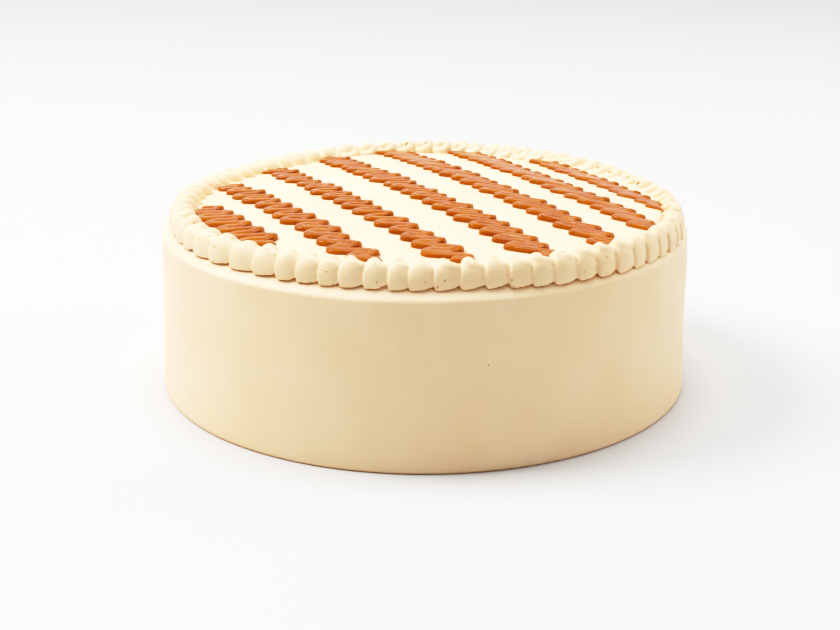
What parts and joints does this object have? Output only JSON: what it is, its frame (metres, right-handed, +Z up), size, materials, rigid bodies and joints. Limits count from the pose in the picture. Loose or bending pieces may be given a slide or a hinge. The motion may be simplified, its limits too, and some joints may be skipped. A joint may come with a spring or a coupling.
{
  "type": "dulce de leche cake",
  "caption": "Round uncut layer cake iced smooth in pale buttercream, with a piped looped border around its top and slanting zigzag stripes of caramel across it.",
  "frame": {"origin": "centre of the flat base, on the surface the cake stands on", "axes": "+Z up along the cake's axis, -Y towards the front of the cake as pictured, +X to the right"},
  "size_m": [0.2252, 0.2252, 0.0808],
  "materials": {
    "icing": "smooth satin buttercream icing, pale caramel cream",
    "buttercream": "piped buttercream with small air pits, pale caramel cream",
    "caramel": "glossy piped caramel, amber brown"
  },
  "bodies": {
    "root": {"cake_body": "icing", "piped_border": "buttercream", "caramel_stripe_1": "caramel", "caramel_stripe_2": "caramel", "caramel_stripe_3": "caramel", "caramel_stripe_4": "caramel", "caramel_stripe_5": "caramel", "caramel_stripe_6": "caramel", "caramel_stripe_7": "caramel"}
  },
  "joints": []
}
